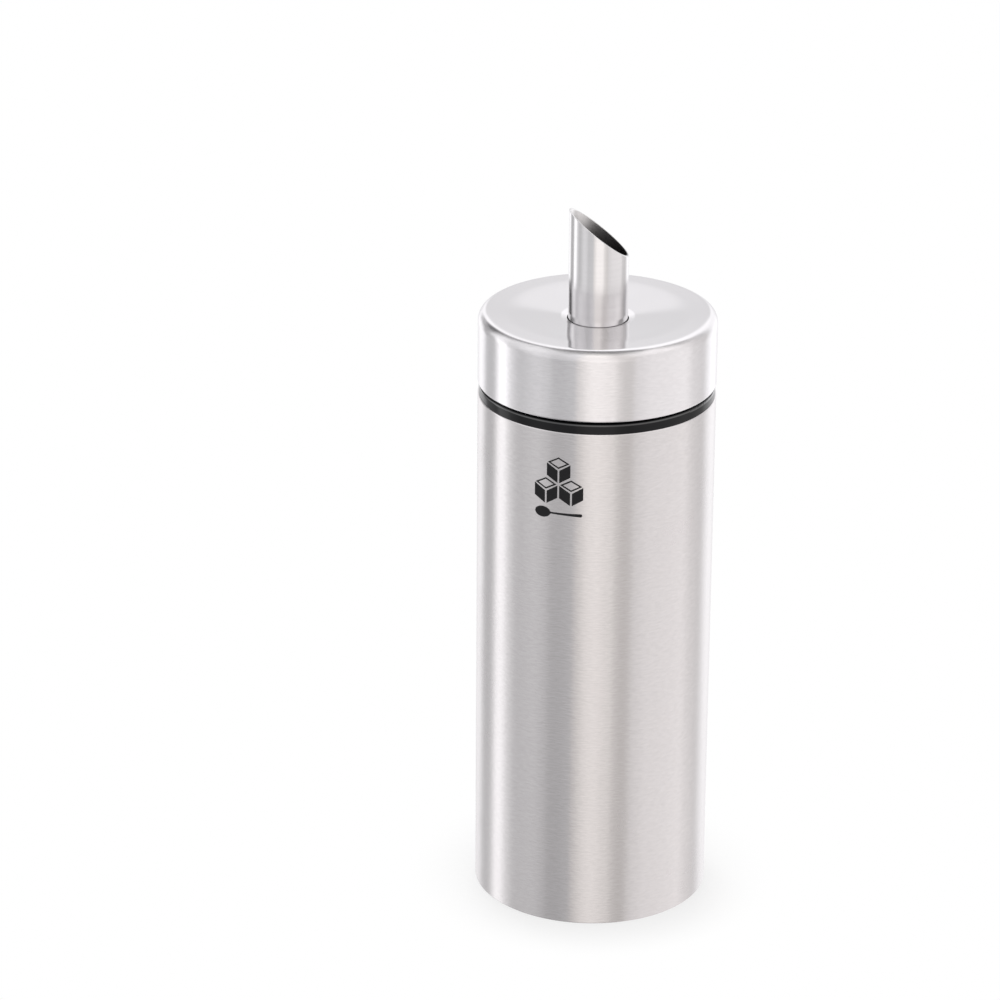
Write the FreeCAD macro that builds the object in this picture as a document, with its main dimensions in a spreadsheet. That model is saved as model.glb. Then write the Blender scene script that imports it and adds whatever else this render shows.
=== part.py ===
import FreeCAD, Part
import os

import Sketcher
from FreeCAD import Base, Vector

# Sugar dispenser: a steel can with a screw lid, a spout tube through the lid and a dosing head on
# the tube's lower end. Millimetres, +Z up. The origin is the middle of the can's standing edge, and
# the spout's slanted cut is lowest towards +X.

# Driving sizes, in millimetres and degrees, and a few counts.
SIZES = {
    # Can and its bottom
    "can_diameter": 56,
    "can_height": 126,
    "can_wall": 0.6,
    "can_edge_round": 0.25,
    "base_recess": 3,
    "base_wall": 0.6,
    "base_bend": 1.2,
    "base_step_diameter": 34,
    "base_step_rise": 0.6,
    # Clearance of every pressed, bonded or clipped seat, and the overrun of every cut
    "seat_gap": 0.05,
    "overrun": 1,
    # Neck ring
    "collar_height": 2.4,
    "collar_inset": 0.25,
    "collar_round": 0.7,
    "skirt_depth": 12,
    "skirt_wall": 1.7,
    "web_height": 4,
    "neck_wall": 2,
    # Screw thread between neck and lid
    "thread_lead": 7,
    "thread_starts": 2,
    "neck_thread_turns": 0.5,
    "lid_thread_turns": 0.45,
    "thread_depth": 1.3,
    "thread_flank": 0.5,
    "thread_play": 0.15,
    "thread_gap": 0.4,
    "thread_bite": 0.3,
    # Lid cap
    "lid_gap": 0.5,
    "lid_height": 17.2,
    "lid_wall": 0.6,
    "lid_corner": 2.4,
    "lid_dish": 1.25,
    "hem_width": 1.4,
    "hem_round": 0.4,
    "spout_hole_gap": 0.2,
    "lip_width": 1.5,
    "lip_drop": 0.45,
    "lip_bend": 2,
    # Lid insert and seal
    "insert_wall": 1.8,
    "insert_top": 2.2,
    "hub_wall": 2,
    "hub_length": 14,
    "seal_thickness": 1.6,
    # Spout tube, its O-ring and its retaining ring
    "tube_diameter": 14,
    "tube_wall": 0.5,
    "spout_rise": 24.9,
    "spout_slant": 39,
    "bead_rise": 0.8,
    "bead_length": 2.4,
    "o_ring_section": 2,
    "gland_room": 0.3,
    "retainer_thickness": 0.6,
    "retainer_room": 0.4,
    "retainer_teeth": 6,
    "retainer_slot_depth": 0.9,
    "retainer_slot_angle": 12,
    # Dosing head
    "cup_lift": 3,
    "cup_diameter": 25,
    "cup_wall": 1.2,
    "cup_height": 14,
    "window_height": 8,
    "funnel_rim": 3,
    "funnel_height": 9,
    "sleeve_length": 9,
    "sleeve_wall": 1.4,
    "post_count": 3,
    "post_angle": 28,
    "post_play_angle": 1,
    "post_foot": 4,
}

# Radii and levels worked out from the driving sizes.
PLACES = {
    # Can and its bottom
    "can_radius": "Sizes.can_diameter / 2",
    "can_bore": "can_radius - Sizes.can_wall",
    "base_radius": "can_bore - Sizes.seat_gap",
    "base_flange_bore": "base_radius - Sizes.base_wall",
    "base_under": "Sizes.base_recess",
    "base_top": "Sizes.base_recess + Sizes.base_wall",
    "base_step_radius": "Sizes.base_step_diameter / 2",
    "base_step_under_radius": "base_step_radius - Sizes.base_wall",
    "base_step_under": "base_under + Sizes.base_step_rise",
    "base_step_top": "base_top + Sizes.base_step_rise",
    "base_bend_inside": "Sizes.base_bend - Sizes.base_wall",
    # Neck ring
    "collar_top": "Sizes.can_height + Sizes.collar_height",
    "collar_radius": "can_radius - Sizes.collar_inset",
    "skirt_radius": "can_bore - Sizes.seat_gap",
    "skirt_bore": "skirt_radius - Sizes.skirt_wall",
    "skirt_foot": "Sizes.can_height - Sizes.skirt_depth",
    "web_foot": "collar_top - Sizes.web_height",
    # Lid cap
    "lid_foot": "collar_top + Sizes.lid_gap",
    "lid_top": "lid_foot + Sizes.lid_height",
    "lid_bore": "can_radius - Sizes.lid_wall",
    "lid_under": "lid_top - Sizes.lid_wall",
    "hem_top": "lid_foot + Sizes.lid_wall",
    "hem_bore": "can_radius - Sizes.hem_width",
    "lid_corner_inside": "Sizes.lid_corner - Sizes.lid_wall",
    "tube_radius": "Sizes.tube_diameter / 2",
    "hole_radius": "tube_radius + Sizes.spout_hole_gap",
    "lip_radius": "hole_radius + Sizes.lip_width",
    "lip_top": "lid_top - Sizes.lid_dish",
    "lip_under": "lip_top - Sizes.lid_wall",
    "lip_bend_inside": "Sizes.lip_bend - Sizes.lid_wall",
    "hole_top": "lip_top - Sizes.lip_drop",
    "hole_foot": "hole_top - Sizes.lid_wall",
    # Lid insert
    "insert_radius": "lid_bore - Sizes.seat_gap",
    "insert_foot": "hem_top + Sizes.seat_gap",
    "insert_rim": "lid_under - Sizes.seat_gap",
    "insert_crown": "lip_under - Sizes.seat_gap",
    "insert_ceiling": "insert_crown - Sizes.insert_top",
    "hub_bore": "tube_radius + Sizes.seat_gap",
    "gland_radius": "tube_radius + Sizes.o_ring_section + Sizes.gland_room",
    "hub_radius": "gland_radius + Sizes.hub_wall",
    "hub_foot": "insert_ceiling - Sizes.hub_length",
    # Screw thread, from the lid inwards
    "lid_root": "insert_radius - Sizes.insert_wall",
    "lid_crest": "lid_root - Sizes.thread_depth",
    "lid_bite": "lid_root + Sizes.thread_bite",
    "neck_crest": "lid_root - Sizes.thread_gap",
    "neck_root": "neck_crest - Sizes.thread_depth",
    "neck_bite": "neck_root - Sizes.thread_bite",
    "neck_bore": "neck_root - Sizes.neck_wall",
    "seal_top": "insert_ceiling - Sizes.seat_gap",
    "seal_foot": "seal_top - Sizes.seal_thickness",
    "neck_top": "seal_foot - Sizes.seat_gap",
    "thread_pitch": "Sizes.thread_lead / Sizes.thread_starts",
    "ridge_middle_width": "thread_pitch / 2 - Sizes.thread_play",
    "ridge_root_half": "(ridge_middle_width + Sizes.thread_flank) / 2",
    "ridge_crest_half": "(ridge_middle_width - Sizes.thread_flank) / 2",
    "neck_thread_climb": "Sizes.thread_lead * Sizes.neck_thread_turns",
    "thread_zone_middle": "(insert_foot + neck_top) / 2",
    "neck_start": "thread_zone_middle - (neck_thread_climb - thread_pitch / 2) / 2",
    "lid_start": "neck_start - thread_pitch / 2",
    "neck_ridge_low": "neck_start - ridge_root_half",
    "neck_ridge_high": "neck_start + ridge_root_half",
    "neck_ridge_crest_low": "neck_start - ridge_crest_half",
    "neck_ridge_crest_high": "neck_start + ridge_crest_half",
    "lid_ridge_low": "lid_start - ridge_root_half",
    "lid_ridge_high": "lid_start + ridge_root_half",
    "lid_ridge_crest_low": "lid_start - ridge_crest_half",
    "lid_ridge_crest_high": "lid_start + ridge_crest_half",
    # O-ring and retaining ring in the hub's gland
    "retainer_top": "hole_foot - Sizes.retainer_room",
    "retainer_foot": "retainer_top - Sizes.retainer_thickness",
    "retainer_radius": "gland_radius - Sizes.seat_gap",
    "retainer_bore": "tube_radius + Sizes.seat_gap",
    "slot_start": "retainer_bore - Sizes.overrun",
    "slot_end": "retainer_bore + Sizes.retainer_slot_depth",
    "slot_low": "retainer_foot - Sizes.overrun",
    "slot_high": "retainer_top + Sizes.overrun",
    "o_ring_half": "Sizes.o_ring_section / 2",
    "o_ring_radius": "tube_radius + Sizes.seat_gap + o_ring_half",
    "o_ring_level": "retainer_foot - Sizes.seat_gap - o_ring_half",
    "gland_floor": "o_ring_level - o_ring_half - Sizes.seat_gap",
    # Dosing head
    "cup_radius": "Sizes.cup_diameter / 2",
    "cup_bore": "cup_radius - Sizes.cup_wall",
    "cup_foot": "base_step_top + Sizes.cup_lift",
    "cup_floor": "cup_foot + Sizes.cup_wall",
    "cup_rim": "cup_foot + Sizes.cup_height",
    "window_top": "cup_rim + Sizes.window_height",
    "cone_foot": "window_top + Sizes.funnel_rim",
    "cone_top": "cone_foot + Sizes.funnel_height",
    "sleeve_top": "cone_top + Sizes.sleeve_length",
    "sleeve_radius": "hub_bore + Sizes.sleeve_wall",
    "post_low": "cup_rim - Sizes.post_foot",
    "post_high": "window_top + Sizes.funnel_rim / 2",
    "notch_start": "cup_bore - Sizes.overrun",
    "notch_end": "cup_radius + Sizes.overrun",
    "notch_low": "post_low - Sizes.seat_gap",
    "notch_high": "cup_rim + Sizes.overrun",
    "notch_angle": "Sizes.post_angle + Sizes.post_play_angle",
    # Spout tube
    "tube_bore": "tube_radius - Sizes.tube_wall",
    "tube_foot": "cone_top + Sizes.seat_gap",
    "spout_tip": "lid_top + Sizes.spout_rise",
    "bead_radius": "tube_radius + Sizes.bead_rise",
    "bead_bore": "tube_bore + Sizes.bead_rise",
    "bead_top": "hub_foot - Sizes.seat_gap",
    "bead_high": "bead_top - Sizes.bead_length / 3",
    "bead_low": "bead_top - Sizes.bead_length * 2 / 3",
    "bead_foot": "bead_top - Sizes.bead_length",
    "cut_right": "tube_radius + Sizes.overrun",
    "cut_left": "-cut_right",
    "cut_high": "spout_tip + Sizes.overrun * tan(Sizes.spout_slant)",
    "cut_low": "cut_high - 2 * cut_right * tan(Sizes.spout_slant)",
}

doc = FreeCAD.newDocument("SugarDispenser")


def make_sheet(name, cells):
    """A spreadsheet with one row per value: its name, and its cell under that alias."""
    sheet = doc.addObject("Spreadsheet::Sheet", name)
    for row, (alias, content) in enumerate(cells, start=1):
        sheet.set(f"A{row}", alias)
        sheet.set(f"B{row}", content)
        sheet.setAlias(f"B{row}", alias)
    doc.recompute()
    return sheet


sizes = make_sheet("Sizes", [(alias, str(value)) for alias, value in SIZES.items()])
places = make_sheet("Places", [(alias, "=" + formula) for alias, formula in PLACES.items()])


def cell(name):
    """The expression that reads a named size or place."""
    return f"Sizes.{name}" if name in SIZES else f"Places.{name}"


def value(name):
    """The number in the cell of a named size or place, or 0 where no name is given."""
    if name is None:
        return 0
    return float(sizes.get(name) if name in SIZES else places.get(name))


def new_body(label):
    body = doc.addObject("PartDesign::Body", label)
    body.Label = label
    return body


def pin_point(sketch, line, axis, name, zero_line):
    """Hold the start of a line at a named distance from the origin along the sketch's X or Y, or on
    the sketch's own axis where no distance is named."""
    where = value(name)
    if name is None:
        sketch.addConstraint(Sketcher.Constraint("PointOnObject", line, 1, zero_line))
        return
    ends = (-1, 1, line, 1) if where > 0 else (line, 1, -1, 1)
    index = sketch.addConstraint(Sketcher.Constraint("Distance" + axis, *ends, abs(where)))
    sketch.setExpression(f"Constraints[{index}]", cell(name) if where > 0 else "-" + cell(name))


def outline(body, name, corners):
    """A closed outline on the body's XZ plane. A corner is a named radius, or None on the Z axis, and
    a named level, or None on the ground."""
    sketch = body.newObject("Sketcher::SketchObject", name)
    plane = next(item for item in body.Origin.OriginFeatures if item.Role == "XZ_Plane")
    sketch.AttachmentSupport = [(plane, "")]
    sketch.MapMode = "FlatFace"
    points = [Vector(value(radius), value(level), 0) for radius, level in corners]
    following = points[1:] + points[:1]
    for start, end in zip(points, following):
        sketch.addGeometry(Part.LineSegment(start, end), False)
    count = len(points)
    for line in range(count):
        sketch.addConstraint(Sketcher.Constraint("Coincident", line, 2, (line + 1) % count, 1))
    for line, (radius, level) in enumerate(corners):
        pin_point(sketch, line, "X", radius, -2)
        pin_point(sketch, line, "Y", level, -1)
    return sketch


def add_turned(body, name, corners, angle=None):
    """Turn an outline about the Z axis, all the way round or by a named angle centred on +X."""
    sketch = outline(body, name + "Outline", corners)
    turned = body.newObject("PartDesign::Revolution", name)
    turned.Profile = sketch
    turned.ReferenceAxis = (sketch, ["V_Axis"])
    turned.Angle = 360
    if angle:
        turned.Midplane = True
        turned.setExpression("Angle", cell(angle))
    doc.recompute()
    return turned


def must_cut(body, feature, before):
    doc.recompute()
    if not feature.Shape.Volume < before:
        raise RuntimeError(f"{body.Label}: {feature.Label} cuts nothing")
    return feature


def cut_turned(body, name, corners, angle):
    """Cut an outline turned about the Z axis by a named angle centred on +X."""
    before = body.Shape.Volume
    sketch = outline(body, name + "Outline", corners)
    groove = body.newObject("PartDesign::Groove", name)
    groove.Profile = sketch
    groove.ReferenceAxis = (sketch, ["V_Axis"])
    groove.Midplane = True
    groove.setExpression("Angle", cell(angle))
    return must_cut(body, groove, before)


def repeat_round(body, name, feature, count):
    """Repeat a feature a named number of times round the Z axis."""
    pattern = body.newObject("PartDesign::PolarPattern", name)
    pattern.Originals = [feature]
    pattern.Axis = (feature.Profile[0], ["V_Axis"])
    pattern.Angle = 360
    pattern.setExpression("Occurrences", cell(count))
    body.Tip = pattern
    doc.recompute()
    return pattern


def round_corners(body, name, radius, corners):
    """Round the circular edges that lie at the given named radii and levels."""
    base = body.Tip
    chosen = []
    for index, edge in enumerate(base.Shape.Edges, start=1):
        if not isinstance(edge.Curve, Part.Circle):
            continue
        here = Vector(edge.Curve.Radius, 0, edge.Curve.Center.z)
        for edge_radius, level in corners:
            place = Vector(value(edge_radius), 0, value(level))
            if here.isEqual(place, Base.Precision.approximation()):
                chosen.append(f"Edge{index}")
    if len(chosen) != len(corners):
        raise RuntimeError(f"{body.Label}: {name} found {len(chosen)} of {len(corners)} edges")
    fillet = body.newObject("PartDesign::Fillet", name)
    fillet.Base = (base, chosen)
    fillet.setExpression("Radius", cell(radius))
    body.Tip = fillet
    doc.recompute()
    return fillet


def add_thread(body, name, corners, turns):
    """Sweep a ridge's outline up a right-hand helix, once for each start of the thread."""
    sketch = outline(body, name + "Outline", corners)
    doc.recompute()
    ridge = body.newObject("PartDesign::AdditiveHelix", name)
    ridge.Profile = sketch
    ridge.ReferenceAxis = (sketch, ["V_Axis"])
    ridge.Mode = "pitch-turns-angle"
    ridge.LeftHanded = False
    ridge.setExpression("Pitch", cell("thread_lead"))
    ridge.setExpression("Turns", cell(turns))
    doc.recompute()
    return repeat_round(body, name + "Starts", ridge, "thread_starts")


def make_can_shell():
    body = new_body("can_shell")
    add_turned(body, "Wall", [
        ("can_bore", None),
        ("can_radius", None),
        ("can_radius", "can_height"),
        ("can_bore", "can_height"),
    ])
    round_corners(body, "EdgeRounds", "can_edge_round", [
        ("can_radius", None),
        ("can_radius", "can_height"),
    ])
    return body


def make_base_plate():
    body = new_body("base_plate")
    add_turned(body, "Plate", [
        ("base_flange_bore", None),
        ("base_radius", None),
        ("base_radius", "base_top"),
        ("base_step_radius", "base_top"),
        ("base_step_radius", "base_step_top"),
        (None, "base_step_top"),
        (None, "base_step_under"),
        ("base_step_under_radius", "base_step_under"),
        ("base_step_under_radius", "base_under"),
        ("base_flange_bore", "base_under"),
    ])
    round_corners(body, "Bend", "base_bend", [("base_radius", "base_top")])
    round_corners(body, "BendInside", "base_bend_inside", [("base_flange_bore", "base_under")])
    return body


def make_neck_ring():
    body = new_body("neck_ring")
    add_turned(body, "Ring", [
        ("neck_bore", "web_foot"),
        ("skirt_bore", "web_foot"),
        ("skirt_bore", "skirt_foot"),
        ("skirt_radius", "skirt_foot"),
        ("skirt_radius", "can_height"),
        ("collar_radius", "can_height"),
        ("collar_radius", "collar_top"),
        ("neck_root", "collar_top"),
        ("neck_root", "neck_top"),
        ("neck_bore", "neck_top"),
    ])
    round_corners(body, "CollarRound", "collar_round", [("collar_radius", "collar_top")])
    add_thread(body, "NeckThread", [
        ("neck_bite", "neck_ridge_low"),
        ("neck_root", "neck_ridge_low"),
        ("neck_crest", "neck_ridge_crest_low"),
        ("neck_crest", "neck_ridge_crest_high"),
        ("neck_root", "neck_ridge_high"),
        ("neck_bite", "neck_ridge_high"),
    ], "neck_thread_turns")
    return body


def make_lid_shell():
    body = new_body("lid_shell")
    add_turned(body, "Cap", [
        ("can_radius", "lid_foot"),
        ("can_radius", "lid_top"),
        ("lip_radius", "lip_top"),
        ("hole_radius", "hole_top"),
        ("hole_radius", "hole_foot"),
        ("lip_radius", "lip_under"),
        ("lid_bore", "lid_under"),
        ("lid_bore", "hem_top"),
        ("hem_bore", "hem_top"),
        ("hem_bore", "lid_foot"),
    ])
    round_corners(body, "TopCorner", "lid_corner", [("can_radius", "lid_top")])
    round_corners(body, "TopCornerInside", "lid_corner_inside", [("lid_bore", "lid_under")])
    round_corners(body, "LipBend", "lip_bend", [("lip_radius", "lip_top")])
    round_corners(body, "LipBendInside", "lip_bend_inside", [("lip_radius", "lip_under")])
    round_corners(body, "HemRound", "hem_round", [("can_radius", "lid_foot")])
    return body


def make_lid_insert():
    body = new_body("lid_insert")
    add_turned(body, "Cup", [
        ("insert_radius", "insert_foot"),
        ("insert_radius", "insert_rim"),
        ("gland_radius", "insert_crown"),
        ("gland_radius", "gland_floor"),
        ("hub_bore", "gland_floor"),
        ("hub_bore", "hub_foot"),
        ("hub_radius", "hub_foot"),
        ("hub_radius", "insert_ceiling"),
        ("lid_root", "insert_ceiling"),
        ("lid_root", "insert_foot"),
    ])
    round_corners(body, "RimRound", "lid_corner_inside", [("insert_radius", "insert_rim")])
    add_thread(body, "LidThread", [
        ("lid_bite", "lid_ridge_low"),
        ("lid_bite", "lid_ridge_high"),
        ("lid_root", "lid_ridge_high"),
        ("lid_crest", "lid_ridge_crest_high"),
        ("lid_crest", "lid_ridge_crest_low"),
        ("lid_root", "lid_ridge_low"),
    ], "lid_thread_turns")
    return body


def make_lid_seal():
    body = new_body("lid_seal")
    add_turned(body, "Washer", [
        ("neck_bore", "seal_foot"),
        ("neck_crest", "seal_foot"),
        ("neck_crest", "seal_top"),
        ("neck_bore", "seal_top"),
    ])
    return body


def make_spout_tube():
    body = new_body("spout_tube")
    add_turned(body, "Tube", [
        ("tube_bore", "tube_foot"),
        ("tube_radius", "tube_foot"),
        ("tube_radius", "bead_foot"),
        ("bead_radius", "bead_low"),
        ("bead_radius", "bead_high"),
        ("tube_radius", "bead_top"),
        ("tube_radius", "spout_tip"),
        ("tube_bore", "spout_tip"),
        ("tube_bore", "bead_top"),
        ("bead_bore", "bead_high"),
        ("bead_bore", "bead_low"),
        ("tube_bore", "bead_foot"),
    ])
    before = body.Shape.Volume
    sketch = outline(body, "SlantOutline", [
        ("cut_left", "cut_high"),
        ("cut_right", "cut_low"),
        ("cut_right", "cut_high"),
    ])
    slant = body.newObject("PartDesign::Pocket", "Slant")
    slant.Profile = sketch
    slant.Type = "ThroughAll"
    slant.SideType = "Symmetric"
    must_cut(body, slant, before)
    return body


def make_spout_o_ring():
    ring = doc.addObject("Part::Torus", "spout_o_ring")
    ring.Label = "spout_o_ring"
    ring.setExpression("Radius1", cell("o_ring_radius"))
    ring.setExpression("Radius2", cell("o_ring_half"))
    ring.setExpression("Placement.Base.z", cell("o_ring_level"))
    doc.recompute()
    return ring


def make_spout_retainer():
    body = new_body("spout_retainer")
    add_turned(body, "Ring", [
        ("retainer_bore", "retainer_foot"),
        ("retainer_radius", "retainer_foot"),
        ("retainer_radius", "retainer_top"),
        ("retainer_bore", "retainer_top"),
    ])
    slot = cut_turned(body, "Slot", [
        ("slot_start", "slot_low"),
        ("slot_end", "slot_low"),
        ("slot_end", "slot_high"),
        ("slot_start", "slot_high"),
    ], "retainer_slot_angle")
    repeat_round(body, "Slots", slot, "retainer_teeth")
    return body


def make_dosing_funnel():
    body = new_body("dosing_funnel")
    add_turned(body, "Funnel", [
        ("cup_bore", "window_top"),
        ("cup_radius", "window_top"),
        ("cup_radius", "cone_foot"),
        ("sleeve_radius", "cone_top"),
        ("sleeve_radius", "sleeve_top"),
        ("hub_bore", "sleeve_top"),
        ("hub_bore", "cone_top"),
        ("tube_bore", "cone_top"),
        ("cup_bore", "cone_foot"),
    ])
    post = add_turned(body, "Post", [
        ("cup_bore", "post_low"),
        ("cup_radius", "post_low"),
        ("cup_radius", "post_high"),
        ("cup_bore", "post_high"),
    ], "post_angle")
    repeat_round(body, "Posts", post, "post_count")
    return body


def make_dosing_cup():
    body = new_body("dosing_cup")
    add_turned(body, "Cup", [
        (None, "cup_foot"),
        ("cup_radius", "cup_foot"),
        ("cup_radius", "cup_rim"),
        ("cup_bore", "cup_rim"),
        ("cup_bore", "cup_floor"),
        (None, "cup_floor"),
    ])
    notch = cut_turned(body, "Notch", [
        ("notch_start", "notch_low"),
        ("notch_end", "notch_low"),
        ("notch_end", "notch_high"),
        ("notch_start", "notch_high"),
    ], "notch_angle")
    repeat_round(body, "Notches", notch, "post_count")
    return body


pieces = [
    make_can_shell(),
    make_base_plate(),
    make_neck_ring(),
    make_lid_shell(),
    make_lid_insert(),
    make_lid_seal(),
    make_spout_tube(),
    make_spout_o_ring(),
    make_spout_retainer(),
    make_dosing_funnel(),
    make_dosing_cup(),
]
doc.recompute()

for item in doc.Objects:
    if "Invalid" in item.State or "Error" in item.State:
        raise RuntimeError(f"{item.Label} failed: {item.State}")
for piece in pieces:
    if piece.Shape.isNull() or not piece.Shape.isValid() or len(piece.Shape.Solids) != 1:
        raise RuntimeError(f"{piece.Label} is not one valid solid")

os.makedirs("parts", exist_ok=True)
for piece in pieces:
    piece.Shape.exportStep(f"parts/{piece.Label}.step")
    print(f"{piece.Label}: {piece.Shape.Volume:.1f} mm3")
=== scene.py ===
"""Looks of a sugar dispenser: brushed steel can and screw lid, black neck ring, slant-cut spout."""
import math

import bmesh
import bpy
from mathutils import Matrix, Vector


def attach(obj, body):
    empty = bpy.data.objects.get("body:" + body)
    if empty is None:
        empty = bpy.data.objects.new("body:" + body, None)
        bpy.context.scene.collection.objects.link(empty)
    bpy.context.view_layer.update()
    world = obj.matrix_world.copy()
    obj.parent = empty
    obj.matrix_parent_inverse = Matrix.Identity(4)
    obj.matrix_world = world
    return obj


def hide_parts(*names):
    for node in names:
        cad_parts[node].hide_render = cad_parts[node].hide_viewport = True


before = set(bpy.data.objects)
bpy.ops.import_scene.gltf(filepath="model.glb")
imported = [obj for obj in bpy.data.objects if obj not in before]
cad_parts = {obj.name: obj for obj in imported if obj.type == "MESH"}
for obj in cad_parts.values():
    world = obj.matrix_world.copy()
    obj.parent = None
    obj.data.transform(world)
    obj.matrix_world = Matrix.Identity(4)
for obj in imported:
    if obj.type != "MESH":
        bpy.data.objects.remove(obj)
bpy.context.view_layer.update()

# Lengths are in millimetres, as on the part's drawing, where no comment says metres
MM = 0.001

# Faces round a turned piece and along a rounded corner, and the edges that hold the corner's shape
FACES_ROUND, ARC_FACES, CORNER_HOLD = 320, 10, 0.08

# Rounding of cut sheet edges
SHEET_EDGE = 0.1

# Can
CAN_RADIUS, CAN_HEIGHT, CAN_WALL, CAN_EDGE = 28.0, 126.0, 0.6, 0.25
CAN_BORE = CAN_RADIUS - CAN_WALL

# Spout tube, with the bead under the lid, the slanted cut and the height above which the bore's painted
# shade fades towards the tip
TUBE_RADIUS, TUBE_WALL, TUBE_FOOT, SPOUT_TIP = 7.0, 0.5, 41.25, 171.0
TUBE_BORE = TUBE_RADIUS - TUBE_WALL
BEAD_RISE, BEAD_FOOT, BEAD_LENGTH, BEAD_BEND = 0.8, 125.55, 2.4, 0.3
SPOUT_SLANT, SLANT_FOOT, RIM_ROUND = math.radians(39), 150.0, 0.16
MOUTH_FOOT = 159.0

# Lid, with the dished top, the pressed lip round the spout's hole and the turned-in hem
LID_FOOT, LID_TOP, LID_WALL, LID_CORNER = 128.9, 146.1, 0.6, 2.4
LID_BORE = CAN_RADIUS - LID_WALL
DISH_RADIUS, DISH_DEPTH, DISH_BEND = 20.0, 1.25, 40.0
HOLE_GAP, LIP_WIDTH, LIP_DROP, LIP_BEND = 0.2, 1.5, 0.45, 2.0
HEM_WIDTH, HEM_ROUND, HEM_INNER_ROUND = 1.4, 0.4, 0.2

# Print on the can: three sugar lumps over a teaspoon
PRINT_ANGLE, PRINT_MIDDLE, PRINT_WIDTH = math.radians(-24.2), 112.4, 14.0
PRINT_LIFT, PRINT_COLUMN, PRINT_MERGE = 0.025, 0.4, 0.001
LUMP_EDGE, LUMP_GAP, LUMP_LEVEL, LUMP_BORE_SHARE = 3.3, 0.42, 0.6, 0.72
LUMP_LEAN = LUMP_EDGE * math.cos(math.radians(30))
SPOON_LENGTH, SPOON_LEVEL, SPOON_STEPS = 11.6, -6.6, 60
BOWL_HALF_LENGTH_SHARE, BOWL_HALF_WIDTH_SHARE = 0.17, 0.115
HANDLE_START_SHARE, HANDLE_HALF_WIDTH_SHARE, HANDLE_END_SHARE = 0.2, 0.018, 0.035
FLARE_START_SHARE, FLARE_SHARE, FLARE_POWER = 0.3, 0.030, 1.5

# Soft changes from walls to smooth tops and to shiny edges, by the upward part of the normal
POLISHED_FROM, SHINE_FROM, SHINE_UNTIL = (0.75, 0.95), (0.10, 0.35), (0.50, 0.75)

# Brushed steel, whose reflections stretch across its lines, and the spout's rough bore, with painted shade
# that darkens its colour away from the mouth
FINE_BRUSH, BRUSH_STRENGTH, SMOOTH_LINES, QUARTER_TURN = 0.0005, 1.0, 0.5, 0.25
BAND_STRETCH, MARK_SCALE, MARK_LIMITS = (0.5, 0.5, 0.12), 55.0, (0.48, 0.72)
BORE_PAINTED_SHADE, BORE_LIGHT, BORE_ROUGHNESS = (0.20, 0.195, 0.195), (0.78, 0.77, 0.765), 0.36

# Moulded plastic and printing ink
GRAIN_STRENGTH, FLOW_SCALE, SHINE_ROUGHNESS, SHINE_IOR = 0.2, 140.0, 0.06, 1.8
INK_DARK, INK_LIGHT, INK_GLOSS = (0.006, 0.006, 0.007), (0.014, 0.014, 0.015), 0.2
INK_GRAIN, INK_ROUGHNESS = 2500.0, (0.45, 0.6)

# Set round the dispenser, in metres
FLOOR_RADIUS, FLOOR_SIDES, FLOOR_GLOW, FLOOR_PAINT = 0.046, 128, 0.60, (0.93, 0.93, 0.93)
LAMP_PLACE, LAMP_SIZE, LAMP_WATTS = Vector((-0.1, 0.85, 1.25)), 0.8, 6.0
WHITE, EVEN_LIGHT = (1, 1, 1), 0.9
CAMERA_PLACE = Vector((-0.10860, -0.95762, 0.49756))
CAMERA_AZIMUTH = math.atan2(CAMERA_PLACE.x, -CAMERA_PLACE.y)
CAMERA_TURN, CAMERA_DIP, CAMERA_ROLL = math.radians(-5.13), math.radians(22.516), math.radians(0.384)
LENS_MM, SENSOR_MM = 158.42, 36

# Tints of the studio's panels: warm near the camera, less so on its right, cool elsewhere
WARM_TINT, RIGHT_TINT, COOL_TINT = (1.0, 0.965, 0.945), (1.0, 0.975, 0.975), (0.99, 0.985, 1.0)
WARM_FROM, WARM_UNTIL, RIGHT_UNTIL = -20, 36, 130

# Brightness of the panels, row over row, by degrees from the camera's side, left negative
TABLE_TONES = [
    (-180, 0.90), (-160, 0.75), (-140, 0.95), (-130, 0.95), (-118, 1.40), (-100, 1.00), (-84, 0.55),
    (-62, 0.28), (-46, 0.16), (-36, 0.16), (-23, 0.28), (-13, 0.52), (1, 0.72), (17, 0.46), (32, 0.24),
    (44, 0.80), (58, 0.96), (94, 1.05), (107, 1.40), (121, 1.40), (134, 0.90), (180, 0.90),
]
LOW_TONES = [
    (-180, 0.95), (-164, 0.97), (-152, 1.30), (-146, 1.40), (-139, 1.20), (-132, 0.58), (-115, 0.58),
    (-106, 1.58), (-98, 1.52), (-90, 0.87), (-80, 0.67), (-56, 0.97), (-47, 0.93), (-41, 0.79),
    (-21.5, 0.81), (-17, 1.06), (-6, 1.34), (16, 1.35), (21.5, 1.08), (28, 0.96), (34, 0.87), (38, 0.94),
    (57, 1.03), (92, 1.06), (106, 0.79), (122, 0.76), (134, 1.22), (142, 1.38), (152, 1.35), (165, 0.97),
    (180, 0.95),
]
HIGH_TONES = [
    (-180, 0.86), (-173, 0.86), (-166, 1.20), (-160, 1.20), (-152, 0.50), (-140, 0.42), (-128, 0.50),
    (-119, 1.05), (-110, 1.25), (-94, 0.86), (-74, 0.98), (-56, 0.90), (-39, 0.73), (-23, 0.83),
    (-10, 1.08), (6, 1.10), (14, 0.87), (25, 0.72), (34, 0.73), (47, 0.84), (64, 0.92), (84, 0.97),
    (100, 0.90), (112, 0.80), (122, 0.72), (132, 0.80), (140, 1.10), (152, 1.18), (166, 1.20), (173, 0.86),
    (180, 0.86),
]
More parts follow.
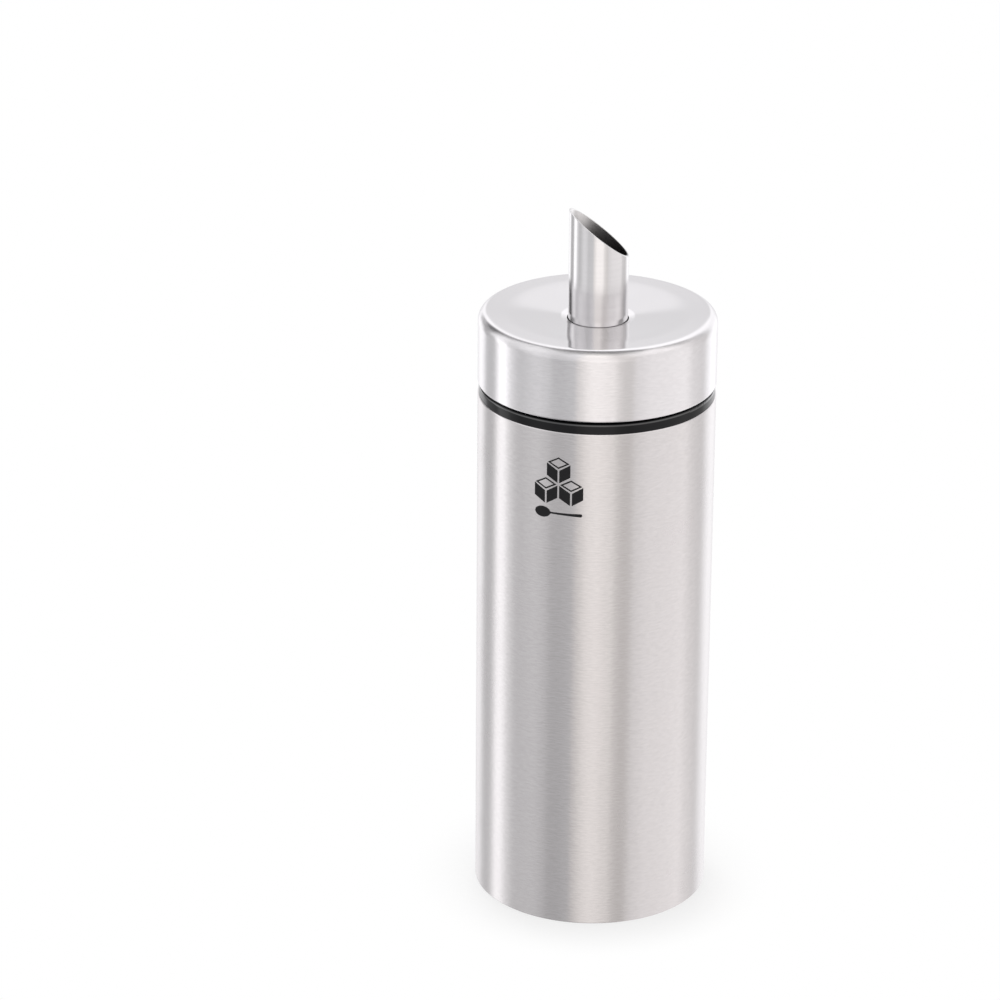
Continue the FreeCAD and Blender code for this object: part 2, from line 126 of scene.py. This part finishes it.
UPPER_TONES = [
    (-180, 1.03), (-174, 1.03), (-167, 1.26), (-158, 1.26), (-150, 0.30), (-144, 0.08), (-130, 0.08),
    (-120, 1.00), (-110, 1.30), (-94, 0.87), (-74, 1.10), (-56, 0.99), (-39, 0.84), (-23, 0.96), (-8, 1.16),
    (8, 1.16), (16, 1.00), (24, 0.93), (32, 0.96), (48, 1.10), (64, 1.12), (84, 1.28), (96, 1.17),
    (106, 0.92), (118, 0.64), (132, 0.66), (142, 1.22), (167, 1.26), (174, 1.03), (180, 1.03),
]
TOP_TONES = [
    (-180, 1.35), (-152, 1.20), (-142, 0.35), (-124, 0.35), (-106, 1.30), (-94, 0.90), (-74, 1.15),
    (-39, 0.90), (-23, 1.10), (-8, 1.50), (8, 1.48), (23, 1.00), (47, 1.15), (84, 1.35), (98, 1.10),
    (106, 0.40), (128, 0.40), (137, 1.30), (180, 1.35),
]
OVERHEAD_GREY = (0.3, 0.3, 0.3)

# Each row above the table's, with the upward part of the direction where it starts and is reached
PANEL_ROWS = [
    (LOW_TONES, -0.62, -0.34),
    (HIGH_TONES, 0.0, 0.15),
    (UPPER_TONES, 0.33, 0.40),
    (TOP_TONES, 0.52, 0.70),
]
OVERHEAD_START, OVERHEAD_REACHED = 0.88, 0.93


# Pieces turned round the upright axis

def place_object(name, data):
    """A new object in the scene."""
    item = bpy.data.objects.new(name, data)
    bpy.context.scene.collection.objects.link(item)
    return item


def corner_arc(before, corner, after, rounding):
    """The points that round off one corner of an outline, with a holding point on each side."""
    to_before = (before - corner).normalized()
    to_after = (after - corner).normalized()
    half = to_before.angle(to_after) / 2
    reach = rounding / math.tan(half)
    hold = min(CORNER_HOLD, rounding)
    middle = corner + (to_before + to_after).normalized() * rounding / math.sin(half)
    start, end = corner + to_before * reach, corner + to_after * reach
    arc = [middle + (start - middle).slerp(end - middle, step / ARC_FACES) * rounding
           for step in range(ARC_FACES + 1)]
    return [start + to_before * hold, *arc, end + to_after * hold]


def rounded_outline(corners):
    """A closed outline through (radius, height, rounding) corners."""
    places = [Vector((radius, height)) for radius, height, rounding in corners]
    points = []
    for i, (radius, height, rounding) in enumerate(corners):
        after = places[(i + 1) % len(places)]
        points += corner_arc(places[i - 1], places[i], after, rounding) if rounding else [places[i]]
    return points


def face_outward(mesh):
    """Turns the faces of a closed mesh to its outside."""
    shell = bmesh.new()
    shell.from_mesh(mesh)
    bmesh.ops.recalc_face_normals(shell, faces=shell.faces)
    shell.to_mesh(mesh)
    shell.free()


def turned_piece(name, corners):
    """A piece turned round the upright axis, with the outline's corners rounded off."""
    outline = rounded_outline(corners)
    count = len(outline)
    points, faces = [], []
    for turn in range(FACES_ROUND):
        angle = 2 * math.pi * turn / FACES_ROUND
        across = (turn + 1) % FACES_ROUND
        for i, (radius, height) in enumerate(outline):
            points.append(Vector((radius * math.cos(angle), radius * math.sin(angle), height)) * MM)
            j = (i + 1) % count
            faces.append((turn * count + i, turn * count + j, across * count + j, across * count + i))
    mesh = bpy.data.meshes.new(name)
    mesh.from_pydata(points, [], faces)
    face_outward(mesh)
    mesh.shade_smooth()
    return place_object(name, mesh)


def fit_piece(piece, material, body, slot, *nodes):
    """Gives a piece its finish and its body, and hides the CAD nodes that it stands for. The slot is not
    used.
    """
    piece.data.materials.clear()
    piece.data.materials.append(material)
    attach(piece, body)
    if nodes:
        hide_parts(*nodes)


def can_wall():
    """The can's wall, a tube that is open at both ends."""
    return turned_piece("can_wall", [
        (CAN_RADIUS, 0, CAN_EDGE),
        (CAN_RADIUS, CAN_HEIGHT, CAN_EDGE),
        (CAN_BORE, CAN_HEIGHT, CAN_EDGE),
        (CAN_BORE, 0, CAN_EDGE),
    ])


def lid_cap():
    """The lid's sheet, from the hem's outside over the top to the spout's hole, and back inside."""
    hole_radius = TUBE_RADIUS + HOLE_GAP
    lip_radius = hole_radius + LIP_WIDTH
    lip_top = LID_TOP - DISH_DEPTH
    hole_top = lip_top - LIP_DROP
    hem_bore = CAN_RADIUS - HEM_WIDTH
    return turned_piece("lid_cap", [
        (CAN_RADIUS, LID_FOOT, HEM_ROUND),
        (CAN_RADIUS, LID_TOP, LID_CORNER),
        (DISH_RADIUS, LID_TOP, DISH_BEND),
        (lip_radius, lip_top, LIP_BEND),
        (hole_radius, hole_top, SHEET_EDGE),
        (hole_radius, hole_top - LID_WALL, SHEET_EDGE),
        (lip_radius, lip_top - LID_WALL, LIP_BEND - LID_WALL),
        (DISH_RADIUS, LID_TOP - LID_WALL, DISH_BEND),
        (LID_BORE, LID_TOP - LID_WALL, LID_CORNER - LID_WALL),
        (LID_BORE, LID_FOOT + LID_WALL, SHEET_EDGE),
        (hem_bore, LID_FOOT + LID_WALL, HEM_INNER_ROUND),
        (hem_bore, LID_FOOT, HEM_INNER_ROUND),
    ])


def spout_pipe():
    """The spout's tube, with its bead and its slanted upper end."""
    bead_top = BEAD_FOOT + BEAD_LENGTH
    bead_low, bead_high = BEAD_FOOT + BEAD_LENGTH / 3, bead_top - BEAD_LENGTH / 3
    pipe = turned_piece("spout_pipe", [
        (TUBE_BORE, TUBE_FOOT, SHEET_EDGE),
        (TUBE_RADIUS, TUBE_FOOT, SHEET_EDGE),
        (TUBE_RADIUS, BEAD_FOOT, BEAD_BEND),
        (TUBE_RADIUS + BEAD_RISE, bead_low, BEAD_BEND),
        (TUBE_RADIUS + BEAD_RISE, bead_high, BEAD_BEND),
        (TUBE_RADIUS, bead_top, BEAD_BEND),
        (TUBE_RADIUS, SLANT_FOOT, 0),
        (TUBE_RADIUS, SPOUT_TIP, RIM_ROUND),
        (TUBE_BORE, SPOUT_TIP, RIM_ROUND),
        (TUBE_BORE, SLANT_FOOT, 0),
        (TUBE_BORE, bead_top, BEAD_BEND),
        (TUBE_BORE + BEAD_RISE, bead_high, BEAD_BEND),
        (TUBE_BORE + BEAD_RISE, bead_low, BEAD_BEND),
        (TUBE_BORE, BEAD_FOOT, BEAD_BEND),
    ])
    slant_pipe_end(pipe.data)
    return pipe


def slant_pipe_end(mesh):
    """Slides the pipe's upper end down on one side until its rim lies in the slanted cut."""
    foot, tip = SLANT_FOOT * MM, SPOUT_TIP * MM
    for vertex in mesh.vertices:
        share = max(0.0, (vertex.co.z - foot) / (tip - foot))
        vertex.co.z -= share * (vertex.co.x + TUBE_RADIUS * MM) * math.tan(SPOUT_SLANT)


# Print on the can

def lump_faces(across, up):
    """One sugar lump in three faces, seen from a corner, with a bare gap between them."""
    half, gap = LUMP_EDGE / 2, LUMP_GAP / 2
    top = [(0, half - gap), (LUMP_LEAN - gap, 0), (0, -half + gap), (-LUMP_LEAN + gap, 0)]
    bore = [(x * LUMP_BORE_SHARE, y * LUMP_BORE_SHARE) for x, y in top]
    left = [(-LUMP_LEAN, -gap), (-gap, -half - gap), (-gap, -half - LUMP_EDGE), (-LUMP_LEAN, -LUMP_EDGE)]
    right = [(-x, y) for x, y in reversed(left)]
    rim = [[top[i - 1], top[i], bore[i], bore[i - 1]] for i in range(len(top))]
    return [[(across + x, up + y) for x, y in face] for face in rim + [left, right]]


def half_circle(across):
    """Height of a half circle of radius 1 at a place across it, and 0 beside it."""
    return math.sqrt(max(0.0, 1 - across ** 2))


def spoon_half_width(along):
    """Half the spoon's width at a place along it, both as shares of its length."""
    bowl = BOWL_HALF_WIDTH_SHARE * half_circle((along - BOWL_HALF_LENGTH_SHARE) / BOWL_HALF_LENGTH_SHARE)
    if along <= HANDLE_START_SHARE:
        return bowl
    flare = FLARE_SHARE * max(0.0, along - FLARE_START_SHARE) ** FLARE_POWER
    end = half_circle(max(0.0, (along - 1 + HANDLE_END_SHARE) / HANDLE_END_SHARE))
    return max(bowl, (HANDLE_HALF_WIDTH_SHARE + flare) * end)


def spoon_face():
    """A teaspoon's outline, lying with its bowl to the left."""
    upper = []
    for step in range(SPOON_STEPS + 1):
        along = step / SPOON_STEPS
        upper.append(((along - 0.5) * SPOON_LENGTH, spoon_half_width(along) * SPOON_LENGTH))
    outline = upper + [(x, -y) for x, y in reversed(upper[1:-1])]
    return [(x, SPOON_LEVEL + y) for x, y in outline]


def print_faces():
    """The flat print: two lumps side by side, one on top, and the spoon under them."""
    side = LUMP_LEAN + LUMP_GAP / 2
    faces = lump_faces(-side, LUMP_LEVEL) + lump_faces(side, LUMP_LEVEL)
    faces += lump_faces(0, LUMP_LEVEL + LUMP_EDGE * 3 / 2 + LUMP_GAP)
    return faces + [spoon_face()]


def cut_columns(sheet):
    """Cuts the flat print into columns that are narrow enough to follow the can's wall."""
    for column in range(int(PRINT_WIDTH / PRINT_COLUMN)):
        across = (column + 0.5) * PRINT_COLUMN - PRINT_WIDTH / 2
        bmesh.ops.bisect_plane(
            sheet, geom=sheet.verts[:] + sheet.edges[:] + sheet.faces[:],
            plane_co=(across, 0, 0), plane_no=(1, 0, 0))


def wrap_round_can(sheet):
    """Lays the flat print round the can's wall, just outside it, with its faces outward."""
    radius = CAN_RADIUS + PRINT_LIFT
    for vertex in sheet.verts:
        angle = PRINT_ANGLE + vertex.co.x / radius
        height = PRINT_MIDDLE + vertex.co.y
        vertex.co = Vector((radius * math.sin(angle), -radius * math.cos(angle), height)) * MM
    for face in sheet.faces:
        face.normal_update()
        if face.normal.to_2d().dot(face.calc_center_median().to_2d()) < 0:
            face.normal_flip()


def lump_print():
    """The print, a thin skin on the can's wall."""
    sheet = bmesh.new()
    for face in print_faces():
        sheet.faces.new([sheet.verts.new((x, y, 0)) for x, y in face])
    bmesh.ops.remove_doubles(sheet, verts=sheet.verts, dist=PRINT_MERGE)
    cut_columns(sheet)
    wrap_round_can(sheet)
    mesh = bpy.data.meshes.new("lump_print")
    sheet.to_mesh(mesh)
    sheet.free()
    return place_object("lump_print", mesh)


# Nodes

def add_node(tree, kind, inputs=None, **settings):
    """A node with its settings, and the starting values of its inputs by name or number."""
    node = tree.nodes.new(kind)
    for name, value in settings.items():
        setattr(node, name, value)
    for name, value in (inputs or {}).items():
        node.inputs[name].default_value = value
    return node


def feed(tree, value, socket):
    """Gives an input a number, a colour or what another node puts out."""
    if isinstance(value, bpy.types.NodeSocket):
        tree.links.new(value, socket)
    elif isinstance(value, tuple):
        socket.default_value = (*value, 1)
    else:
        socket.default_value = value


def maths(tree, operation, *values, **settings):
    """The result of one sum, from numbers or sockets."""
    node = add_node(tree, "ShaderNodeMath", operation=operation, **settings)
    for socket, value in zip(node.inputs, values):
        feed(tree, value, socket)
    return node.outputs[0]


def parts_of(tree, vector):
    """The X, Y and Z parts of a vector."""
    split = add_node(tree, "ShaderNodeSeparateXYZ")
    tree.links.new(vector, split.inputs[0])
    return split.outputs


def noise(tree, place, scale, detail, roughness):
    """An uneven pattern of values."""
    pattern = add_node(tree, "ShaderNodeTexNoise", {"Detail": detail, "Roughness": roughness})
    tree.links.new(place, pattern.inputs["Vector"])
    feed(tree, scale, pattern.inputs["Scale"])
    return pattern.outputs[0]


def soft_step(tree, value, low, high, start=0.0, end=1.0):
    """Changes softly from start to end while a value goes from low to high."""
    step = add_node(tree, "ShaderNodeMapRange", interpolation_type="SMOOTHSTEP")
    for socket, given in zip(step.inputs, (value, low, high, start, end)):
        feed(tree, given, socket)
    return step.outputs[0]


def spread(tree, share, low, high):
    """Maps a 0 to 1 share to a range of values."""
    span = add_node(tree, "ShaderNodeMapRange", {"To Min": low, "To Max": high})
    tree.links.new(share, span.inputs[0])
    return span.outputs[0]


def blend(tree, share, low, high, kind="FLOAT"):
    """What lies between two numbers, colours or sockets, by a share that changes over the surface."""
    mix = add_node(tree, "ShaderNodeMix", data_type=kind)
    tree.links.new(share, mix.inputs["Factor"])
    feed(tree, low, mix.inputs["A"])
    feed(tree, high, mix.inputs["B"])
    return mix.outputs["Result"]


def blend_colours(tree, share, low, high):
    """What lies between two colours, by a share that changes over the surface."""
    return blend(tree, share, low, high, "RGBA")


def mix_shaders(tree, share, low, high):
    """Two shaders in one, the second by a share."""
    mix = add_node(tree, "ShaderNodeMixShader")
    for socket, given in zip(mix.inputs, (share, low, high)):
        tree.links.new(given, socket)
    return mix.outputs[0]


# Shared effects

def new_group(name, numbers, masks):
    """A shader node group from a vector and numbers to masks, with its own inputs and outputs."""
    group = bpy.data.node_groups.new(name, "ShaderNodeTree")
    group.interface.new_socket("Vector", in_out="INPUT", socket_type="NodeSocketVector")
    for label, value in numbers.items():
        socket = group.interface.new_socket(label, in_out="INPUT", socket_type="NodeSocketFloat")
        socket.default_value = value
    for label in masks:
        group.interface.new_socket(label, in_out="OUTPUT", socket_type="NodeSocketFloat")
    return group, group.nodes.new("NodeGroupInput").outputs, group.nodes.new("NodeGroupOutput").inputs


def brushed_lines_group():
    """Fine brushed lines that run round the upright axis, on walls and on flat tops alike."""
    group, given, out = new_group(
        "brushed_lines", {"Density": 2500.0, "Streak": 650.0}, ["Lines", "Bands"])
    x, y, z = parts_of(group, given["Vector"])
    radius = maths(group, "SQRT", maths(group, "MULTIPLY_ADD", y, y, maths(group, "MULTIPLY", x, x)))
    across = maths(group, "MULTIPLY", maths(group, "SUBTRACT", z, radius), given["Density"])
    place = add_node(group, "ShaderNodeCombineXYZ")
    feed(group, maths(group, "MULTIPLY", x, given["Streak"]), place.inputs[0])
    feed(group, maths(group, "MULTIPLY", y, given["Streak"]), place.inputs[1])
    feed(group, across, place.inputs[2])
    stretched = add_node(group, "ShaderNodeVectorMath", {1: BAND_STRETCH}, operation="MULTIPLY")
    feed(group, place.outputs[0], stretched.inputs[0])
    feed(group, noise(group, place.outputs[0], 1.0, detail=1.0, roughness=0.5), out["Lines"])
    feed(group, noise(group, stretched.outputs[0], 1.0, detail=2.0, roughness=0.5), out["Bands"])
    return group


def handling_marks_group():
    """Soft patches that handling leaves on a surface."""
    group, given, out = new_group("handling_marks", {"Scale": MARK_SCALE}, ["Marks"])
    patches = noise(group, given["Vector"], given["Scale"], detail=4.0, roughness=0.55)
    feed(group, soft_step(group, patches, *MARK_LIMITS), out["Marks"])
    return group


def moulded_grain_group():
    """The fine uneven skin of a moulded piece, and its slow change of tone."""
    group, given, out = new_group("moulded_grain", {"Scale": 4000.0}, ["Grain", "Flow"])
    feed(group, noise(group, given["Vector"], given["Scale"], detail=3.0, roughness=0.6), out["Grain"])
    feed(group, noise(group, given["Vector"], FLOW_SCALE, detail=3.0, roughness=0.5), out["Flow"])
    return group


def upward_faces_group():
    """0 on walls and 1 on what faces up, changing between two upward parts of the normal."""
    low, high = POLISHED_FROM
    group, given, out = new_group("upward_faces", {"Low": low, "High": high}, ["Upward"])
    up = parts_of(group, given["Vector"])["Z"]
    feed(group, soft_step(group, up, given["Low"], given["High"]), out["Upward"])
    return group


def use_group(tree, group, vector, **values):
    """Places a group in a material with its own values, and gives what it puts out."""
    node = add_node(tree, "ShaderNodeGroup", values, node_tree=group)
    tree.links.new(vector, node.inputs["Vector"])
    return node.outputs


# Materials

def new_material(name):
    """A material, its nodes, its shader's inputs, and the place on the piece that patterns follow."""
    material = bpy.data.materials.new(name)
    material.use_nodes = True
    tree = material.node_tree
    place = add_node(tree, "ShaderNodeTexCoord").outputs["Object"]
    return material, tree, tree.nodes["Principled BSDF"].inputs, place


def add_bump(tree, shader, height, depth, strength):
    """Fine relief from a pattern, as deep as given."""
    bump = add_node(tree, "ShaderNodeBump", {"Distance": depth * MM, "Strength": strength})
    tree.links.new(height, bump.inputs["Height"])
    tree.links.new(bump.outputs[0], shader["Normal"])


def facing_up(tree, low, high):
    """The mask of upward faces, from the piece's own normal."""
    way = add_node(tree, "ShaderNodeTexCoord").outputs["Normal"]
    return use_group(tree, UPWARD_FACES, way, Low=low, High=high)["Upward"]


def inside_bore(tree, place, radius):
    """1 on surfaces nearer to the upright axis than a radius, else 0."""
    flat = add_node(tree, "ShaderNodeVectorMath", {1: (1, 1, 0)}, operation="MULTIPLY")
    reach = add_node(tree, "ShaderNodeVectorMath", operation="LENGTH")
    tree.links.new(place, flat.inputs[0])
    tree.links.new(flat.outputs[0], reach.inputs[0])
    return maths(tree, "LESS_THAN", reach.outputs["Value"], radius * MM)


def rough_bore_with_painted_shade(tree, place, colour, rough):
    """Makes the spout's bore rougher than its outside, and paints shade into its colour, darker away from
    the slanted mouth.
    """
    inside = inside_bore(tree, place, (TUBE_BORE + TUBE_RADIUS) / 2)
    near_tip = soft_step(tree, parts_of(tree, place)["Z"], MOUTH_FOOT * MM, SPOUT_TIP * MM)
    # Painted shade: the bore's colour goes from dark below the mouth to light at the tip
    painted_shade_colour = blend_colours(tree, near_tip, BORE_PAINTED_SHADE, BORE_LIGHT)
    return blend_colours(tree, inside, colour, painted_shade_colour), blend(tree, inside, rough, BORE_ROUGHNESS)


def brushed_steel(name, dark, light, roughness, anisotropy, density, streak, marks,
                  brush_depth=FINE_BRUSH, polished_top=None, polished_from=POLISHED_FROM, bore_with_painted_shade=False):
    """Steel with brushed lines that run round the piece and, if asked, a smooth top or a rough bore with
    painted shade.
    """
    material, tree, shader, place = new_material(name)
    brushed = use_group(tree, BRUSHED_LINES, place, Density=density, Streak=streak)
    smudges = use_group(tree, HANDLING_MARKS, place, Scale=MARK_SCALE)
    lines = brushed["Lines"]
    rough = spread(tree, brushed["Bands"], *roughness)
    if polished_top:
        upward = facing_up(tree, *polished_from)
        lines = blend(tree, upward, lines, SMOOTH_LINES)
        rough = blend(tree, upward, rough, polished_top)
    colour = blend_colours(tree, lines, dark, light)
    if bore_with_painted_shade:
        # Painted shade in the bore, darker away from the mouth, and a rougher bore
        colour, rough = rough_bore_with_painted_shade(tree, place, colour, rough)
    tangent = add_node(tree, "ShaderNodeTangent", direction_type="RADIAL", axis="Z")
    feed(tree, colour, shader["Base Color"])
    feed(tree, maths(tree, "MULTIPLY_ADD", smudges["Marks"], marks, rough), shader["Roughness"])
    feed(tree, tangent.outputs[0], shader["Tangent"])
    add_bump(tree, shader, lines, brush_depth, BRUSH_STRENGTH)
    shader["Metallic"].default_value = 1.0
    shader["Anisotropic"].default_value = anisotropy
    shader["Anisotropic Rotation"].default_value = QUARTER_TURN
    return material


def moulded_plastic(name, dark, light, roughness, grain_scale, grain_depth, gloss=0.5, shiny_edge=False):
    """A moulded plastic with a fine skin, a slow change of tone and, if asked, a shinier upper edge."""
    material, tree, shader, place = new_material(name)
    skin = use_group(tree, MOULDED_GRAIN, place, Scale=grain_scale)
    feed(tree, blend_colours(tree, skin["Flow"], dark, light), shader["Base Color"])
    feed(tree, spread(tree, skin["Flow"], *roughness), shader["Roughness"])
    add_bump(tree, shader, skin["Grain"], grain_depth, GRAIN_STRENGTH)
    shader["Specular IOR Level"].default_value = gloss
    if shiny_edge:
        shine_upper_edge(tree, shader)
    return material


def shine_upper_edge(tree, shader):
    """A clear shine on the rounding between a wall and a flat top, and on neither of them."""
    risen, flat = facing_up(tree, *SHINE_FROM), facing_up(tree, *SHINE_UNTIL)
    feed(tree, maths(tree, "SUBTRACT", risen, flat, use_clamp=True), shader["Coat Weight"])
    shader["Coat IOR"].default_value = SHINE_IOR
    shader["Coat Roughness"].default_value = SHINE_ROUGHNESS


def print_ink():
    """Matt black printing ink, a little uneven."""
    material, tree, shader, place = new_material("print_ink")
    grain = use_group(tree, MOULDED_GRAIN, place, Scale=INK_GRAIN)["Grain"]
    feed(tree, blend_colours(tree, grain, INK_DARK, INK_LIGHT), shader["Base Color"])
    feed(tree, spread(tree, grain, *INK_ROUGHNESS), shader["Roughness"])
    shader["Specular IOR Level"].default_value = INK_GLOSS
    return material


# Set

def seen_rays(tree):
    """Light Path's outputs, and 1 for what is seen directly, mirrored or through clear pieces, else 0."""
    path = add_node(tree, "ShaderNodeLightPath").outputs
    direct = maths(tree, "MAXIMUM", path["Is Camera Ray"], path["Is Glossy Ray"])
    return path, maths(tree, "MAXIMUM", direct, path["Is Transmission Ray"])


def white_floor():
    """Floor paint that fades to plain white away from the dispenser, and keeps its soft shadow."""
    material = bpy.data.materials.new("white_floor")
    material.use_nodes = True
    tree = material.node_tree
    tree.nodes.remove(tree.nodes["Principled BSDF"])
    paint = add_node(tree, "ShaderNodeBsdfDiffuse", {"Color": (*FLOOR_PAINT, 1)})
    glow = add_node(tree, "ShaderNodeEmission")
    place = add_node(tree, "ShaderNodeTexCoord")
    reach = add_node(tree, "ShaderNodeVectorMath", operation="LENGTH")
    tree.links.new(place.outputs["Object"], reach.inputs[0])
    fade = soft_step(tree, reach.outputs["Value"], CAN_RADIUS * MM, FLOOR_RADIUS, FLOOR_GLOW, 1.0)
    path, seen = seen_rays(tree)
    surface = mix_shaders(tree, maths(tree, "MULTIPLY", seen, fade), paint.outputs[0], glow.outputs[0])
    tree.links.new(surface, tree.nodes["Material Output"].inputs["Surface"])
    return material


def floor_disc():
    """A round white table top under the dispenser."""
    disc = bmesh.new()
    bmesh.ops.create_circle(disc, cap_ends=True, segments=FLOOR_SIDES, radius=FLOOR_RADIUS)
    mesh = bpy.data.meshes.new("floor_disc")
    disc.to_mesh(mesh)
    disc.free()
    mesh.materials.append(white_floor())
    floor = place_object("floor_disc", mesh)
    floor.visible_glossy = False


def panel_tint(degrees):
    """The tint of a panel by degrees from the camera's side."""
    if WARM_FROM <= degrees <= WARM_UNTIL:
        return WARM_TINT
    if WARM_UNTIL < degrees < RIGHT_UNTIL:
        return RIGHT_TINT
    return COOL_TINT


def tone_ramp(tree, around, tones):
    """One row of panels, by a share of the turn round the dispenser."""
    ramp = add_node(tree, "ShaderNodeValToRGB")
    ramp.color_ramp.interpolation = "EASE"
    stops = ramp.color_ramp.elements
    stops.remove(stops[1])
    for i, (degrees, tone) in enumerate(tones):
        stop = stops.new(0.5 + degrees / 360) if i else stops[0]
        stop.color = (*[part * tone for part in panel_tint(degrees)], 1)
    tree.links.new(around, ramp.inputs[0])
    return ramp.outputs[0]


def studio_panels(tree):
    """Rows of soft panels, from the table's up to the grey overhead."""
    way = add_node(tree, "ShaderNodeTexCoord").outputs["Generated"]
    turn = add_node(tree, "ShaderNodeVectorRotate", rotation_type="Z_AXIS")
    turn.inputs["Angle"].default_value = math.radians(90) - CAMERA_AZIMUTH
    around = add_node(tree, "ShaderNodeTexGradient", gradient_type="RADIAL")
    tree.links.new(way, turn.inputs["Vector"])
    tree.links.new(turn.outputs[0], around.inputs["Vector"])
    up = parts_of(tree, way)["Z"]
    panels = tone_ramp(tree, around.outputs[0], TABLE_TONES)
    for tones, start, reached in PANEL_ROWS:
        row = tone_ramp(tree, around.outputs[0], tones)
        panels = blend_colours(tree, soft_step(tree, up, start, reached), panels, row)
    overhead = soft_step(tree, up, OVERHEAD_START, OVERHEAD_REACHED)
    return blend_colours(tree, overhead, panels, OVERHEAD_GREY)


def background(tree, colour, strength=1.0):
    """Light of one colour or pattern from all round."""
    light = add_node(tree, "ShaderNodeBackground", {"Strength": strength})
    feed(tree, colour, light.inputs["Color"])
    return light.outputs[0]


def studio_world():
    """Soft panels round the dispenser for reflections, even light elsewhere, white for the camera."""
    world = bpy.data.worlds.new("studio")
    bpy.context.scene.world = world
    world.use_nodes = True
    tree = world.node_tree
    path, seen = seen_rays(tree)
    even = background(tree, WHITE, EVEN_LIGHT)
    mirrored = mix_shaders(tree, seen, even, background(tree, studio_panels(tree)))
    every = mix_shaders(tree, path["Is Camera Ray"], mirrored, background(tree, WHITE))
    tree.links.new(every, tree.nodes["World Output"].inputs["Surface"])


def key_lamp():
    """A large soft lamp, high behind the dispenser, for the shadow on the floor. The panels show in
    the steel, the lamp does not."""
    lamp = bpy.data.lights.new("key_lamp", "AREA")
    lamp.shape = "RECTANGLE"
    lamp.size, lamp.size_y = LAMP_SIZE, LAMP_SIZE
    lamp.energy = LAMP_WATTS
    holder = place_object("key_lamp", lamp)
    holder.location = LAMP_PLACE
    holder.rotation_euler = (-LAMP_PLACE).to_track_quat("-Z", "Y").to_euler()
    holder.visible_glossy = False


def photo_camera():
    """The camera at the photograph's place, angle and focal length."""
    lens = bpy.data.cameras.new("photo_camera")
    lens.lens = LENS_MM
    lens.sensor_width = SENSOR_MM
    camera = place_object("photo_camera", lens)
    camera.matrix_world = (
        Matrix.Translation(CAMERA_PLACE)
        @ Matrix.Rotation(CAMERA_TURN, 4, "Z")
        @ Matrix.Rotation(math.radians(90) - CAMERA_DIP, 4, "X")
        @ Matrix.Rotation(CAMERA_ROLL, 4, "Z"))
    bpy.context.scene.camera = camera


BRUSHED_LINES = brushed_lines_group()
HANDLING_MARKS = handling_marks_group()
MOULDED_GRAIN = moulded_grain_group()
UPWARD_FACES = upward_faces_group()

can_steel = brushed_steel(
    "brushed_can_steel", dark=(0.668, 0.646, 0.646), light=(0.752, 0.73, 0.73), roughness=(0.24, 0.27),
    anisotropy=1.0, density=2500.0, streak=650.0, marks=0.02, brush_depth=0.017,
    polished_top=0.12, polished_from=(0.10, 0.40))
lid_steel = brushed_steel(
    "brushed_lid_steel", dark=(0.743, 0.728, 0.738), light=(0.827, 0.812, 0.822), roughness=(0.21, 0.24),
    anisotropy=1.0, density=2500.0, streak=650.0, marks=0.02, brush_depth=0.013, polished_top=0.10)
# The spout's bore gets painted shade, darker away from the slanted mouth
spout_steel = brushed_steel(
    "satin_spout_steel", dark=(0.68, 0.67, 0.675), light=(0.77, 0.76, 0.765), roughness=(0.16, 0.20),
    anisotropy=0.6, density=6000.0, streak=60.0, marks=0.02, bore_with_painted_shade=True)
base_steel = brushed_steel(
    "pressed_base_steel", dark=(0.50, 0.50, 0.50), light=(0.66, 0.66, 0.66), roughness=(0.36, 0.46),
    anisotropy=0.3, density=1500.0, streak=90.0, marks=0.08)
clip_steel = brushed_steel(
    "clip_spring_steel", dark=(0.34, 0.34, 0.36), light=(0.50, 0.50, 0.52), roughness=(0.30, 0.40),
    anisotropy=0.2, density=4000.0, streak=300.0, marks=0.05)
ring_black = moulded_plastic(
    "gloss_black_moulding", dark=(0.002, 0.002, 0.0025), light=(0.005, 0.005, 0.006),
    roughness=(0.07, 0.11), grain_scale=3500.0, grain_depth=0.001, gloss=0.22, shiny_edge=True)
insert_black = moulded_plastic(
    "satin_black_moulding", dark=(0.014, 0.014, 0.015), light=(0.028, 0.028, 0.030),
    roughness=(0.42, 0.52), grain_scale=5000.0, grain_depth=0.01)
dosing_milky = moulded_plastic(
    "milky_dosing_moulding", dark=(0.78, 0.78, 0.75), light=(0.86, 0.86, 0.84),
    roughness=(0.38, 0.48), grain_scale=4500.0, grain_depth=0.008)
seal_milky = moulded_plastic(
    "milky_seal_silicone", dark=(0.66, 0.66, 0.63), light=(0.75, 0.75, 0.73),
    roughness=(0.55, 0.65), grain_scale=6000.0, grain_depth=0.006)
o_ring_black = moulded_plastic(
    "black_o_ring_rubber", dark=(0.018, 0.018, 0.018), light=(0.032, 0.032, 0.032),
    roughness=(0.50, 0.60), grain_scale=6000.0, grain_depth=0.006)

fit_piece(can_wall(), can_steel, "container", "can_steel", "can_shell")
fit_piece(lid_cap(), lid_steel, "lid", "lid_steel", "lid_shell")
fit_piece(spout_pipe(), spout_steel, "lid", "spout_steel", "spout_tube")
fit_piece(lump_print(), print_ink(), "container", "black_plastic")

NODE_FINISHES = {
    "base_plate": base_steel,
    "neck_ring": ring_black,
    "lid_insert": insert_black,
    "lid_seal": seal_milky,
    "spout_o_ring": o_ring_black,
    "spout_retainer": clip_steel,
    "dosing_funnel": dosing_milky,
    "dosing_cup": dosing_milky,
}
for node, finish in NODE_FINISHES.items():
    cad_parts[node].data.materials[0] = finish

floor_disc()
studio_world()
key_lamp()
photo_camera()
bpy.context.scene.view_settings.view_transform = "Standard"
